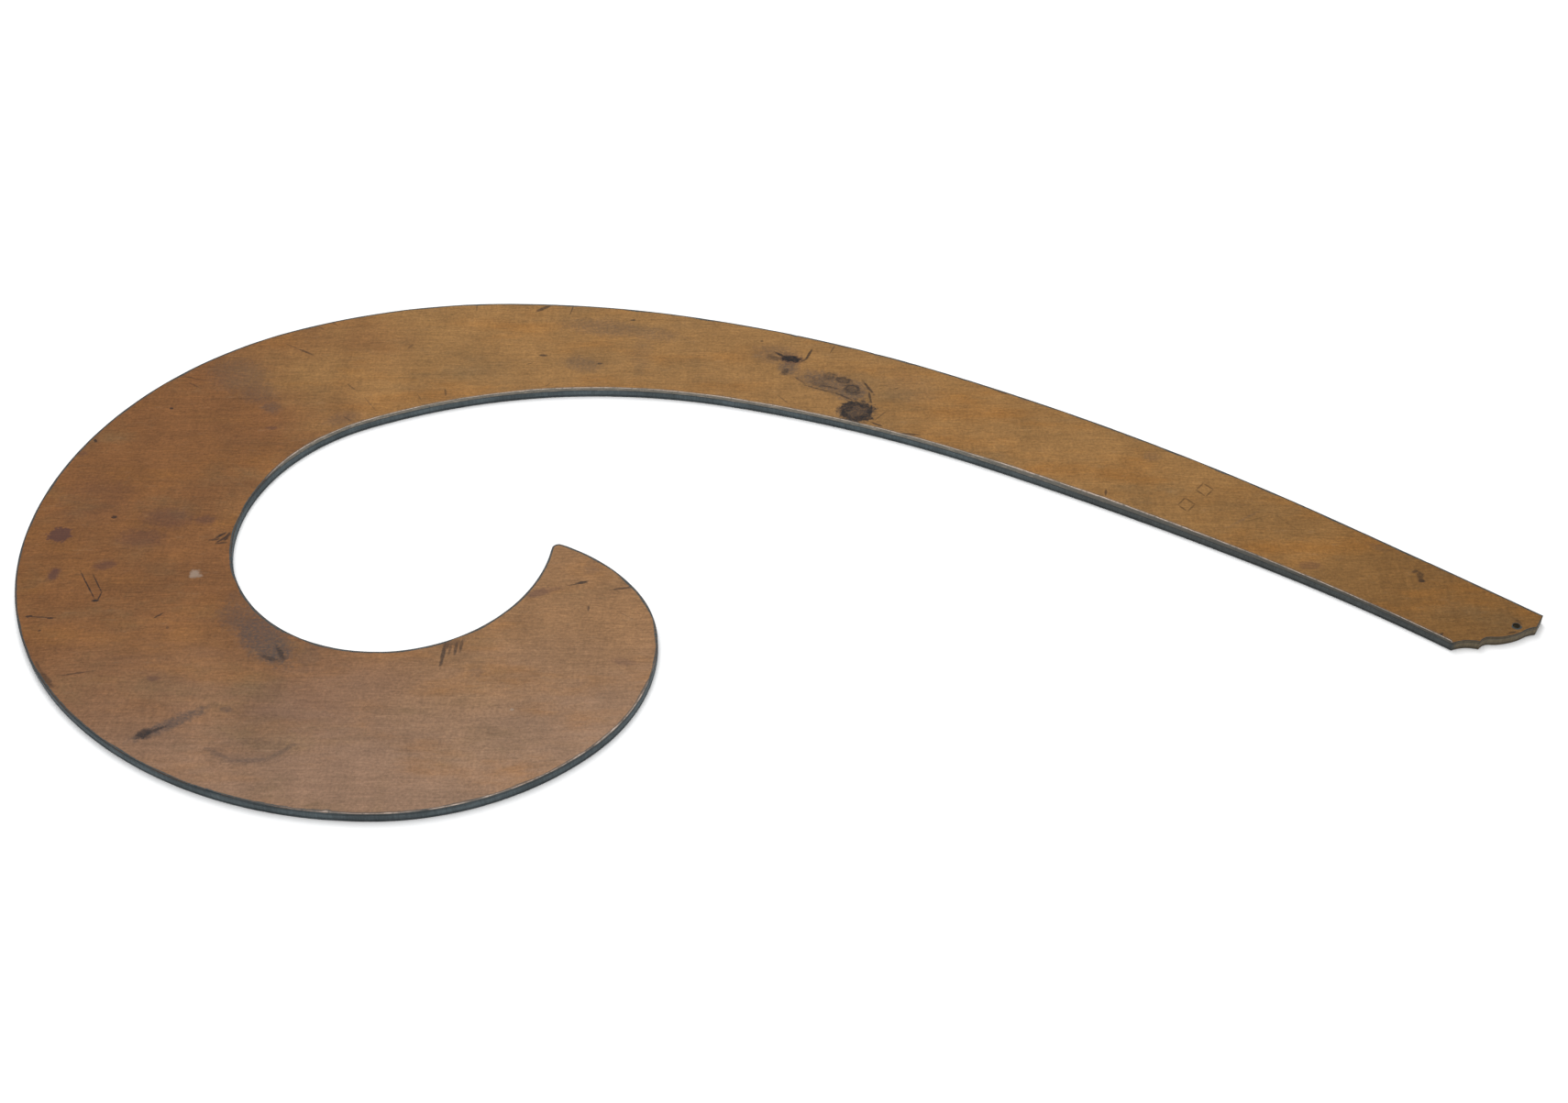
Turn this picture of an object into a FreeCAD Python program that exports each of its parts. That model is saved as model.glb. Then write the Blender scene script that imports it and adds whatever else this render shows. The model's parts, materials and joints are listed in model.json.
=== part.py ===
import FreeCAD, Part
import math
import os

import Sketcher

# A french curve of laminated pearwood: a scroll-headed drawing template with a long tapering arm.
# It lies flat on Z = 0, its arm runs towards +X, and the origin is under the centre of its box.
# Three plies and the two glue films between them are cut to one outline, so every outline
# sketch is made by the same function from the same cells.

# name, value, what it is (millimetres, or degrees where the note says so)
SIZES = [
    ("overall_length", 400.0, "left side of the head to the far corner of the tip"),
    ("overall_width", 201.0, "heel to crown"),
    ("face_ply", 0.7, "thickness of each outer ply"),
    ("middle_ply", 1.2, "thickness of the cross-grained core"),
    ("glue_film", 0.1, "thickness of each glue film"),
    # outer edge: heights are from the middle of the width, and the places along the head are
    # from the left side, so a longer curve has a longer arm and the same head
    ("belly_drop", 3.0, "leftmost point of the head below the middle"),
    ("crown_reach", 120.0, "left side to the highest point"),
    ("crown_sweep", 24.0, "degrees turned by the flatter arc beside the crown"),
    ("heel_reach", 105.5, "left side to the lowest point"),
    ("hook_reach", 171.5, "left side to the rightmost point of the hook"),
    ("hook_rise", 56.0, "heel line to the rightmost point of the hook"),
    ("shoulder_reach", 247.5, "left side to the shoulder on the arm's back"),
    ("shoulder_drop", 32.0, "crown line down to the shoulder"),
    ("shoulder_slope", 26.0, "degrees, fall of the edge at the shoulder"),
    ("tip_drop", 33.777, "degrees, far corner of the tip below the shoulder, so a longer arm falls further"),
    ("tip_slope", 38.0, "degrees, fall of the straight edge before the tip"),
    # nose of the hook
    ("nose_reach", 143.5, "left side to the centre of the nose rounding"),
    ("nose_rise", 92.5, "heel line to the centre of the nose rounding"),
    ("nose_radius", 1.8, "rounding of the nose"),
    ("nose_back_slope", 24.5, "degrees, fall of the outer edge where it meets the nose"),
    ("nose_throat_slope", 84.5, "degrees, fall of the throat edge where it meets the nose"),
    # inner edge, dimensioned by the wood left between it and the outer edge
    ("heel_band", 54.0, "wood between the heel and the throat floor"),
    ("floor_reach", 100.0, "left side to the lowest point of the throat"),
    ("belly_band", 56.0, "wood between the head's left side and the throat"),
    ("throat_drop", 2.0, "leftmost point of the throat below the middle"),
    ("throat_sweep", 64.0, "degrees turned by the tighter arc above the throat's left side"),
    ("crown_band", 41.0, "wood between the crown line and the arch"),
    ("arch_reach", 149.0, "left side to the highest point of the arch"),
    ("waist_reach", 261.5, "left side to the waist on the arm's underside"),
    ("waist_drop", 73.5, "crown line down to the waist"),
    ("waist_slope", 27.5, "degrees, fall of the edge at the waist"),
    ("corner_slope", 38.5, "degrees, fall of the edge at the near corner of the tip"),
    # ornamental end, stepped off from the far corner towards the near one
    ("end_run", 2.6, "end cut, towards the head"),
    ("end_fall", 4.3, "end cut, downwards"),
    ("shelf_run", 2.7, "small shelf, towards the head"),
    ("shelf_fall", 0.8, "small shelf, downwards"),
    ("ovolo_run", 11.0, "swelling arc, towards the head"),
    ("ovolo_fall", 2.9, "swelling arc, downwards"),
    ("ovolo_radius", 18.0, "swelling arc"),
    ("riser_run", 2.1, "riser, towards the head"),
    ("riser_fall", 1.6, "riser, downwards"),
    ("cove_run", 7.1, "hollow arc, towards the head"),
    ("cove_fall", 0.4, "hollow arc, downwards"),
    ("cove_radius", 9.5, "hollow arc"),
    # hanging hole and worked edges
    ("hole_radius", 0.9, "hanging hole"),
    ("hole_inset", 7.8, "far corner of the tip back to the hole"),
    ("hole_fall", 3.7, "far corner of the tip down to the hole"),
    ("upper_bevel", 0.5, "bevel along the top arris of the arm's underside"),
    ("lower_bevel", 0.3, "bevel along the bottom arris of the arm's underside"),
]

START, END, CENTRE = 1, 2, 3  # a sketch element's point numbers
ORIGIN = (-1, 1)  # the sketch origin
GUIDE = 4.0  # length of the construction line that holds a node's direction


class Size:
    """A value that also carries the spreadsheet expression it comes from."""

    def __init__(self, value, text):
        self.value = value
        self.text = text

    def _join(self, other, sign, value):
        text = other.text if isinstance(other, Size) else str(other)
        return Size(value, f"({self.text} {sign} {text})")

    def __add__(self, other):
        return self._join(other, "+", self.value + number(other))

    def __sub__(self, other):
        return self._join(other, "-", self.value - number(other))

    def __mul__(self, other):
        return self._join(other, "*", self.value * number(other))

    def __truediv__(self, other):
        return self._join(other, "/", self.value / number(other))

    def tangent(self):
        return Size(math.tan(math.radians(self.value)), f"tan({self.text})")


def number(item):
    return item.value if isinstance(item, Size) else float(item)


def fixed(value):
    """A direction or zero that no cell sets."""
    return Size(float(value), str(float(value)))


def make_sheet(doc):
    sheet = doc.addObject("Spreadsheet::Sheet", "Sizes")
    sizes = {}
    for row, (name, value, note) in enumerate(SIZES, start=1):
        sheet.set(f"A{row}", name)
        sheet.set(f"B{row}", str(value))
        sheet.set(f"C{row}", note)
        sheet.setAlias(f"B{row}", name)
        sizes[name] = Size(value, f"Sizes.{name}")
    doc.recompute()
    return sizes


# ---- plan geometry -------------------------------------------------------------------------


def along(heading):
    angle = math.radians(heading)
    return FreeCAD.Vector(math.cos(angle), math.sin(angle), 0)


def left_of(heading):
    return along(heading + 90.0)


def unit_arc(start_heading, end_heading):
    """Displacement along an arc of radius 1 that turns left between two headings."""
    return left_of(start_heading) - left_of(end_heading)


def solve_pair(first, second, target):
    """Lengths a and b for which a * first + b * second = target."""
    det = first.x * second.y - second.x * first.y
    a = (target.x * second.y - second.x * target.y) / det
    b = (first.x * target.y - target.x * first.y) / det
    return a, b


class Node:
    """A dimensioned point of an edge, with the direction of travel there in degrees."""

    def __init__(self, x, y, heading, placed=True):
        self.x = x
        self.y = y
        self.heading = heading
        self.placed = placed  # False where the nose rounding already holds the point

    def point(self):
        return FreeCAD.Vector(self.x.value, self.y.value, 0)


class Outline:
    """One closed outline in a sketch, drawn in order and dimensioned from the sheet."""

    def __init__(self, sketch):
        self.sketch = sketch
        self.last = None  # end of the last element: (element, point number)

    def bind(self, constraint, size, unit=""):
        index = self.sketch.addConstraint(constraint)
        name = f"c{index}"
        self.sketch.renameConstraint(index, name)
        self.sketch.setExpression(f"Constraints.{name}", size.text + unit)

    def bind_angle(self, element, size):
        self.bind(Sketcher.Constraint("Angle", element, math.radians(size.value)), size, " * 1 deg")

    def bind_place(self, element, point, x, y):
        self.bind(Sketcher.Constraint("DistanceX", *ORIGIN, element, point, x.value), x)
        self.bind(Sketcher.Constraint("DistanceY", *ORIGIN, element, point, y.value), y)

    def join(self, kind, element, point):
        if self.last is not None:
            self.sketch.addConstraint(Sketcher.Constraint(kind, *self.last, element, point))

    def line(self, start, end):
        element = self.sketch.addGeometry(Part.LineSegment(start, end), False)
        self.join("Coincident", element, START)
        self.last = (element, END)
        return element

    def arc(self, start, start_heading, end_heading, radius, kind="Tangent"):
        """An arc from start; radius is positive for a left turn and negative for a right one."""
        centre = start + left_of(start_heading) * radius
        angles = [math.radians(start_heading - 90.0), math.radians(end_heading - 90.0)]
        if radius < 0:
            angles = [math.radians(end_heading + 90.0), math.radians(start_heading + 90.0)]
        circle = Part.Circle(centre, FreeCAD.Vector(0, 0, 1), abs(radius))
        element = self.sketch.addGeometry(Part.ArcOfCircle(circle, *angles), False)
        first, second = (START, END) if radius > 0 else (END, START)
        self.join(kind, element, first)
        self.last = (element, second)
        return element, start + unit_arc(start_heading, end_heading) * radius

    def guide(self, node):
        """A construction line that fixes a node's place and direction."""
        point, heading = node.point(), node.heading
        segment = Part.LineSegment(point, point + along(heading.value) * GUIDE)
        element = self.sketch.addGeometry(segment, True)
        self.join("Tangent", element, START)
        if node.placed:
            self.bind_place(element, START, node.x, node.y)
        self.bind_angle(element, heading)
        self.sketch.addConstraint(Sketcher.Constraint("Distance", element, GUIDE))
        self.last = (element, START)

    def arcs_to(self, start, end, first_sweep=None):
        """Two tangent arcs from node to node; the first turns by first_sweep, or by half."""
        turn = end.heading - start.heading
        sweep = first_sweep or turn / 2.0
        side = 1.0 if turn.value > 0 else -1.0
        begin = start.heading.value
        middle = begin + side * abs(sweep.value)
        finish = end.heading.value
        first, second = unit_arc(begin, middle), unit_arc(middle, finish)
        radii = solve_pair(first, second, end.point() - start.point())
        element, joint = self.arc(start.point(), begin, middle, radii[0])
        self.bind_angle(element, sweep if sweep.value > 0 else sweep * -1.0)
        self.arc(joint, middle, finish, radii[1])
        self.guide(end)

    def line_and_arc_to(self, start, end):
        """A straight stretch and then one arc that is tangent to it."""
        begin, finish = start.heading.value, end.heading.value
        run, radius = solve_pair(along(begin), unit_arc(begin, finish), end.point() - start.point())
        joint = start.point() + along(begin) * run
        element = self.line(start.point(), joint)
        self.bind_place(element, START, start.x, start.y)
        self.bind_angle(element, start.heading)
        self.arc(joint, begin, finish, radius)
        self.guide(end)
        return element

    def chord_arc(self, start, end, radius, bulge):
        """An arc between two corners; bulge is +1 where it swells to the right of its chord."""
        chord = end - start
        half_turn = math.degrees(math.asin(chord.Length / 2.0 / radius.value))
        heading = math.degrees(math.atan2(chord.y, chord.x))
        first, second = heading - bulge * half_turn, heading + bulge * half_turn
        element, _ = self.arc(start, first, second, bulge * radius.value, "Coincident")
        self.bind(Sketcher.Constraint("Radius", element, radius.value), radius)
        return element


def rounding_node(centre_x, centre_y, radius, heading):
    """The point of the nose rounding at which the edge has this heading."""
    reach = left_of(heading.value) * -1.0 * radius.value
    return Node(centre_x + reach.x, centre_y + reach.y, heading, placed=False)


def chord_heading(start, end):
    """Heading of the straight line between two nodes of an edge that runs towards +X."""
    ratio = (end.y - start.y) / (end.x - start.x)
    return Size(math.degrees(math.atan(ratio.value)), f"(atan({ratio.text}) / 1 deg)")


def edge_nodes(s):
    """The nodes of the outer edge, the nose and the inner edge, in the order they are drawn."""
    left = s["overall_length"] / -2.0
    right = s["overall_length"] / 2.0
    top = s["overall_width"] / 2.0
    bottom = s["overall_width"] / -2.0
    middle = fixed(0)
    half_turn = fixed(180)
    nose_x, nose_y = left + s["nose_reach"], bottom + s["nose_rise"]
    # headings fall or grow steadily along an edge, so that a turn is a plain difference
    nose_in = fixed(540) - s["nose_back_slope"]
    nose_out = fixed(180) + s["nose_throat_slope"]
    nose_start = rounding_node(nose_x, nose_y, s["nose_radius"], nose_in)
    nose_end = rounding_node(nose_x, nose_y, s["nose_radius"], nose_out)
    shoulder_x, shoulder_y = left + s["shoulder_reach"], top - s["shoulder_drop"]
    tip_y = shoulder_y - (right - shoulder_x) * s["tip_drop"].tangent()
    corner_x = right - s["end_run"] - s["shelf_run"] - s["ovolo_run"] - s["riser_run"] - s["cove_run"]
    corner_y = tip_y - s["end_fall"] - s["shelf_fall"] - s["ovolo_fall"] - s["riser_fall"] - s["cove_fall"]
    outer = [
        Node(right, tip_y, half_turn - s["tip_slope"]),
        Node(shoulder_x, shoulder_y, half_turn - s["shoulder_slope"]),
        Node(left + s["crown_reach"], top, half_turn),
        Node(left, middle - s["belly_drop"], fixed(270)),
        Node(left + s["heel_reach"], bottom, fixed(360)),
        Node(left + s["hook_reach"], bottom + s["hook_rise"], fixed(450)),
        nose_start,
    ]
    inner = [
        nose_end,
        Node(left + s["floor_reach"], bottom + s["heel_band"], fixed(180)),
        Node(left + s["belly_band"], middle - s["throat_drop"], fixed(90)),
        Node(left + s["arch_reach"], top - s["crown_band"], fixed(0)),
        Node(left + s["waist_reach"], top - s["waist_drop"], fixed(0) - s["waist_slope"]),
        Node(corner_x, corner_y, fixed(0) - s["corner_slope"]),
    ]
    return outer, inner


def draw_ornament(outline, s, near_corner, far_corner):
    """The cove, riser, ovolo, shelf and end cut, from the near corner to the far one."""
    steps = [("cove", -1), ("riser", 0), ("ovolo", 1), ("shelf", 0), ("end", 0)]
    point = near_corner
    for name, bulge in steps:
        run, fall = s[name + "_run"], s[name + "_fall"]
        end = point + FreeCAD.Vector(run.value, fall.value, 0)
        if bulge:
            element = outline.chord_arc(point, end, s[name + "_radius"], bulge)
        else:
            element = outline.line(point, end)
        if name == "end":
            outline.join("Coincident", *far_corner)
        else:
            first = START if outline.last[1] == END else END
            ends = (element, first, element, outline.last[1])
            outline.bind(Sketcher.Constraint("DistanceX", *ends, run.value), run)
            outline.bind(Sketcher.Constraint("DistanceY", *ends, fall.value), fall)
        point = end


def draw_nose(outline, s, start, end):
    """The rounding that turns left from the outer edge's heading to the throat's."""
    radius = s["nose_radius"]
    element, _ = outline.arc(start.point(), start.heading.value, end.heading.value + 360.0, radius.value)
    centre_x = s["overall_length"] / -2.0 + s["nose_reach"]
    centre_y = s["overall_width"] / -2.0 + s["nose_rise"]
    outline.bind_place(element, CENTRE, centre_x, centre_y)
    outline.bind(Sketcher.Constraint("Radius", element, radius.value), radius)
    outline.guide(end)


def draw_outline(sketch, s):
    outer, inner = edge_nodes(s)
    outline = Outline(sketch)
    back_line = outline.line_and_arc_to(outer[0], outer[1])
    outline.arcs_to(outer[1], outer[2])
    outline.arcs_to(outer[2], outer[3], s["crown_sweep"])
    for start, end in zip(outer[3:-1], outer[4:]):
        outline.arcs_to(start, end)
    draw_nose(outline, s, outer[-1], inner[0])
    outline.arcs_to(inner[0], inner[1])
    outline.arcs_to(inner[1], inner[2])
    outline.arcs_to(inner[2], inner[3], s["throat_sweep"])
    outline.arcs_to(inner[3], inner[4])
    outline.arcs_to(inner[4], inner[5], chord_heading(inner[4], inner[5]) - inner[4].heading)
    draw_ornament(outline, s, inner[5].point(), (back_line, START))
    draw_hanging_hole(outline, s, outer[0])


def draw_hanging_hole(outline, s, far_corner):
    x = far_corner.x - s["hole_inset"]
    y = far_corner.y - s["hole_fall"]
    radius = s["hole_radius"]
    centre = FreeCAD.Vector(x.value, y.value, 0)
    circle = Part.Circle(centre, FreeCAD.Vector(0, 0, 1), radius.value)
    element = outline.sketch.addGeometry(circle, False)
    outline.bind_place(element, CENTRE, x, y)
    outline.bind(Sketcher.Constraint("Radius", element, radius.value), radius)


# ---- the laminations -----------------------------------------------------------------------


def make_layer(doc, name, s, thickness, height):
    """One ply or glue film: the outline padded up from its own height in the stack."""
    body = doc.addObject("PartDesign::Body", name)
    body.Label = name
    plane = [item for item in body.Origin.OriginFeatures if item.Role == "XY_Plane"][0]
    sketch = body.newObject("Sketcher::SketchObject", name + "_outline")
    sketch.AttachmentSupport = (plane, [""])
    sketch.MapMode = "FlatFace"
    draw_outline(sketch, s)
    pad = body.newObject("PartDesign::Pad", name + "_pad")
    pad.Profile = sketch
    pad.setExpression("Length", thickness.text)
    body.setExpression("Placement.Base.z", height.text)
    doc.recompute()
    return body, pad


def arm_underside_edges(pad, s, level):
    """Names of the pad's edges along the arm's underside, from the arch to the near corner."""
    _, inner = edge_nodes(s)
    arch, corner = inner[3].point(), inner[5].point()
    names = []
    for index, edge in enumerate(pad.Shape.Edges, start=1):
        box = edge.BoundBox
        flat = abs(box.ZMin - level) < 1e-6 and abs(box.ZMax - level) < 1e-6
        spans_arm = box.XMin > arch.x - 1e-3 and box.XMax < corner.x + 1e-3
        below_arch = box.YMin > corner.y - 1e-3 and box.YMax < arch.y + 1e-3
        if flat and spans_arm and below_arch:
            names.append(f"Edge{index}")
    return names


def bevel_arm(doc, body, pad, s, level, size, name):
    """A bevel that lifts the ruling edge off the paper, well inside the ply's thickness."""
    before = pad.Shape.Volume
    chamfer = body.newObject("PartDesign::Chamfer", name)
    chamfer.Base = (pad, arm_underside_edges(pad, s, level))
    chamfer.setExpression("Size", size.text)
    doc.recompute()
    if not chamfer.Shape.Volume < before:
        raise RuntimeError(f"{name} removed no wood")


def check_document(doc, bodies):
    for item in doc.Objects:
        if "Invalid" in item.State or "Error" in item.State:
            raise RuntimeError(f"{item.Label} failed to compute: {item.State}")
    for body in bodies:
        if body.Shape.isNull() or not body.Shape.isValid() or len(body.Shape.Solids) != 1:
            raise RuntimeError(f"{body.Label} is not one valid solid")


def main():
    doc = FreeCAD.newDocument("FrenchCurve")
    s = make_sheet(doc)

    face, film, middle = s["face_ply"], s["glue_film"], s["middle_ply"]
    lower_film_height = face
    core_height = face + film
    upper_film_height = core_height + middle
    top_height = upper_film_height + film

    bottom_ply, bottom_pad = make_layer(doc, "bottom_face_ply", s, face, fixed(0))
    lower_glue, _ = make_layer(doc, "lower_glue_film", s, film, lower_film_height)
    core_ply, _ = make_layer(doc, "cross_grain_core_ply", s, middle, core_height)
    upper_glue, _ = make_layer(doc, "upper_glue_film", s, film, upper_film_height)
    top_ply, top_pad = make_layer(doc, "top_face_ply", s, face, top_height)

    bevel_arm(doc, top_ply, top_pad, s, face.value, s["upper_bevel"], "upper_arm_bevel")
    bevel_arm(doc, bottom_ply, bottom_pad, s, 0.0, s["lower_bevel"], "lower_arm_bevel")

    bodies = [bottom_ply, lower_glue, core_ply, upper_glue, top_ply]
    doc.recompute()
    check_document(doc, bodies)
    os.makedirs("parts", exist_ok=True)
    for body in bodies:
        body.Shape.exportStep(os.path.join("parts", body.Label + ".step"))
        box = body.Shape.BoundBox
        print(f"{body.Label}: X {box.XMin:.2f}..{box.XMax:.2f}  Y {box.YMin:.2f}..{box.YMax:.2f}"
              f"  Z {box.ZMin:.2f}..{box.ZMax:.2f}  volume {body.Shape.Volume:.0f}")


main()
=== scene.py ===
"""Worn laminated pearwood french curve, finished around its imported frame."""

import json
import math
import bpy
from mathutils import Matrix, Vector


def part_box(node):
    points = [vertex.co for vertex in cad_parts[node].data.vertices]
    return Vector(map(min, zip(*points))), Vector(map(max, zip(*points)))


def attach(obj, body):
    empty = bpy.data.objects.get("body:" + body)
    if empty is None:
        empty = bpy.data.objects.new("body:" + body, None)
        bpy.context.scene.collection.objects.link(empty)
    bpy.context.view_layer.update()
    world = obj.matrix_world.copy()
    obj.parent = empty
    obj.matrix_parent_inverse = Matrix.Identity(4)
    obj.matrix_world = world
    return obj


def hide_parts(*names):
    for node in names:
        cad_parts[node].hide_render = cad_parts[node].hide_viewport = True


bl_info = {
    "name": "French curve finish",
    "version": (1, 0, 0),
    "blender": (4, 5, 0),
    "location": "View3D > Sidebar > French curve",
    "description": "Builds the worn plies, glue lines, finishes and studio for a wooden french curve",
    "category": "Object",
}

import bmesh
import bpy
from bpy.props import FloatProperty, FloatVectorProperty, PointerProperty
from mathutils import Euler, Vector, noise
from mathutils.geometry import interpolate_bezier

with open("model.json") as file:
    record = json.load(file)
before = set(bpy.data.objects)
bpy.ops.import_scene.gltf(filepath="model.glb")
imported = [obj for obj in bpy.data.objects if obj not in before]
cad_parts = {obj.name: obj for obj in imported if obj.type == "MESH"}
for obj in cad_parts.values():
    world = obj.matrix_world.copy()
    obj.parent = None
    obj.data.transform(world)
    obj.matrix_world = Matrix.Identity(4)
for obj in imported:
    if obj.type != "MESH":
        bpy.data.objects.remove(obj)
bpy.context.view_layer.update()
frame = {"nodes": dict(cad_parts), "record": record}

MM = 0.001
BODY = "root"
TOP, CORE, BOTTOM = "top_face_ply", "cross_grain_core_ply", "bottom_face_ply"
UPPER_GLUE, LOWER_GLUE = "upper_glue_film", "lower_glue_film"

# ---- settings ------------------------------------------------------------------------------


def length(name, description, default):
    return FloatProperty(name=name, description=description, default=default, unit="LENGTH", precision=5)


def colour(name, description, default):
    return FloatVectorProperty(name=name, description=description, default=default,
                               subtype="COLOR", size=3, min=0.0, max=1.0)


class WearSettings(bpy.types.PropertyGroup):
    edge_step: length("Edge step", "Spacing of the points along the cut edge", 0.9 * MM)
    arris_width: length("Arris width", "Wood worn off the face beside every edge", 0.17 * MM)
    arris_drop: length("Arris drop", "Wood worn down every edge", 0.15 * MM)
    bevel_narrow: length("Narrow bevel", "Scraped bevel along most of the arm's underside", 0.80 * MM)
    bevel_wide: length("Wide bevel", "Scraped bevel where the arm was trued again", 1.30 * MM)
    bevel_drop: length("Bevel drop", "How far the scraped bevel runs down the edge", 0.56 * MM)
    # Width of the darker band along every edge of the faces.
    rim_width: length("Grimed rim", "Grime along every edge of the faces", 0.46 * MM)
    waver: length("Waver", "Unevenness of the hand-cut edge", 0.05 * MM)


class FinishSettings(bpy.types.PropertyGroup):
    arm: colour("Arm", "Waxed pearwood of the arm", (0.252, 0.130, 0.042))
    head: colour("Head", "Redder, more handled wood of the head", (0.170, 0.070, 0.022))
    scroll: colour("Scroll", "Paler rubbed wood of the hook", (0.236, 0.122, 0.052))
    tip: colour("Tip", "Browner wood towards the moulded tip", (0.168, 0.082, 0.024))
    orange: colour("Orange", "Warm patches in the wood", (0.275, 0.112, 0.020))
    olive: colour("Olive", "Dull patches in the wood", (0.150, 0.092, 0.040))
    # Painted sheen: a paler, pinker colour standing in for the reflection of the light behind on the near
    # side of the scroll.
    painted_sheen: colour("Haze", "Dull rubbed bloom on the near side of the scroll", (0.245, 0.150, 0.098))
    # Bright bare wood of the worn arrises, carrying a painted highlight along the top of each strip.
    worn: colour("Worn arris", "Bare wood polished along the edges", (0.640, 0.510, 0.430))
    scraped: colour("Scraped bevel", "Bare wood left by the scraper", (0.135, 0.122, 0.100))
    inked: colour("Inked arris", "Ink-greyed arris beside the cut edge", (0.024, 0.033, 0.038))
    # Ink-greyed cut edge; its darkness and bluish tint are partly a painted shade of edges turned away from
    # the lights.
    cut: colour("Cut edge", "Ink-greyed cut edge", (0.078, 0.098, 0.106))
    cut_brown: colour("Brown cut edge", "Less inked cut edge at the moulded tip", (0.118, 0.092, 0.056))
    glue: colour("Glue", "Dark dried glue", (0.030, 0.032, 0.033))


class StageSettings(bpy.types.PropertyGroup):
    camera_side: length("Camera side", "Camera to the right of the middle", 3.7 * MM)
    camera_back: length("Camera back", "Camera in front of the middle", 450.4 * MM)
    camera_height: length("Camera height", "Camera over the paper", 414.2 * MM)
    camera_elevation: FloatProperty(name="Camera elevation", description="Angle below the horizon",
                                    default=math.radians(43.0), subtype="ANGLE")
    camera_lens: FloatProperty(name="Camera lens", description="Focal length", default=52.0)
    floor_size: length("Floor size", "Side of the pale floor", 4.0)


def settings(name):
    return getattr(bpy.context.scene, "french_curve_" + name)


# ---- the cut outline -----------------------------------------------------------------------

CORNER_ANGLE = math.radians(38.0)  # the frame's outline turns this much only at a real corner
HOLE_POINTS = 40


class EdgeLoop:
    """A closed run of plan points, with the inward direction and the distance along at each."""

    def __init__(self, points, hole=False):
        self.points = points
        self.hole = hole
        count = len(points)
        self.inward = []
        self.along = [0.0]
        for i, point in enumerate(points):
            before = (point - points[i - 1]).normalized()
            after = (points[(i + 1) % count] - point).normalized()
            middle = (before + after).normalized()
            mitre = 1.0 / max(middle.dot(after), 0.5)
            self.inward.append(Vector((-middle.y, middle.x, 0.0)) * mitre)
            self.along.append(self.along[-1] + (points[(i + 1) % count] - point).length)


def frame_outline():
    """The outer edge of the core ply, in order and with the wood on its left."""
    bm = bmesh.new()
    bm.from_mesh(frame["nodes"][CORE].data)
    bmesh.ops.remove_doubles(bm, verts=bm.verts, dist=0.002 * MM)
    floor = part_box(CORE)[0].z + 0.01 * MM
    after = {}
    for face in bm.faces:
        if face.normal.z > -0.9:
            continue
        for loop in face.loops:
            start, end = loop.vert, loop.link_loop_next.vert
            other = loop.link_loop_radial_next.face
            if start.co.z < floor and abs(other.normal.z) < 0.5:
                after[end] = start  # the underside runs the other way round
    start = max(after, key=lambda vert: vert.co.x)
    points = [start.co.copy()]
    vert = after[start]
    while vert is not start:
        points.append(vert.co.copy())
        vert = after[vert]
    bm.free()
    for point in points:
        point.z = 0.0
    return points


def node_directions(points):
    """Directions of travel into and out of each point; they differ only at a corner."""
    count = len(points)
    arrive, leave = [], []
    for i, point in enumerate(points):
        back, ahead = point - points[i - 1], points[(i + 1) % count] - point
        if back.angle(ahead) > CORNER_ANGLE:
            arrive.append(None)
            leave.append(None)
            continue
        # the shorter chord lies closer to the tangent of the circle through the three points
        tangent = (back.normalized() * ahead.length + ahead.normalized() * back.length).normalized()
        arrive.append(tangent)
        leave.append(tangent)
    for i in range(count):
        j = (i + 1) % count
        chord = (points[j] - points[i]).normalized()
        if leave[i] is None:
            leave[i] = chord if arrive[j] is None else chord * 2.0 * chord.dot(arrive[j]) - arrive[j]
        if arrive[j] is None:
            arrive[j] = chord * 2.0 * chord.dot(leave[i]) - leave[i]
    return arrive, leave


def smooth_outline(step):
    """The frame's outline with its arcs rounded again, at an even step."""
    points = frame_outline()
    arrive, leave = node_directions(points)
    fine = []
    for i, start in enumerate(points):
        j = (i + 1) % len(points)
        end = points[j]
        span = (end - start).length
        count = max(2, math.ceil(span / step) + 1)
        third = span / 3.0
        fine += interpolate_bezier(start, start + leave[i] * third, end - arrive[j] * third, end, count)[:-1]
    return EdgeLoop(fine)


def hanging_hole():
    """The hole's edge, drawn the other way round so that the wood is on its left too."""
    mount = [m for m in frame["record"]["mounts"] if m["name"] == "hanging_hole"][0]
    centre, radius = Vector(mount["pos_m"]), mount["dims"]["r_mm"] * MM
    bm = bmesh.new()
    circle = bmesh.ops.create_circle(bm, segments=HOLE_POINTS, radius=radius)
    points = [vert.co + Vector((centre.x, centre.y, 0.0)) for vert in circle["verts"]]
    bm.free()
    area = sum(a.cross(b).z for a, b in zip(points, points[1:] + points[:1]))
    return EdgeLoop(points[::-1] if area > 0 else points, hole=True)


# ---- wear along the edge -------------------------------------------------------------------

ARM_START, SCROLL_TOP = -20.0 * MM, 20.0 * MM  # the scroll lies left of the one and below the other
MOULDING = 174.4 * MM  # the moulded end begins here
TRUED_AGAIN, TRUED_SPREAD = 86.0 * MM, 36.0 * MM  # the stretch of the arm that was scraped twice
TAPER_START, TAPER_END = 125.0 * MM, 165.0 * MM  # the scraped bevel narrows along this stretch
HANDLED_START, HANDLED_END = 30.0 * MM, 120.0 * MM  # the arm's edges darken along this stretch
RUBBED_TOP = -40.0 * MM  # the near side of the scroll lies below this
HEEL_START, HEEL_END = -135.0 * MM, -92.0 * MM  # its front edge turns bare and takes the painted highlight along this stretch
HOOK_START, HOOK_END = -75.0 * MM, -45.0 * MM  # the hook's side turns bare along this stretch


def smoothstep(value, low, high):
    t = min(1.0, max(0.0, (value - low) / (high - low)))
    return t * t * (3.0 - 2.0 * t)


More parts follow.
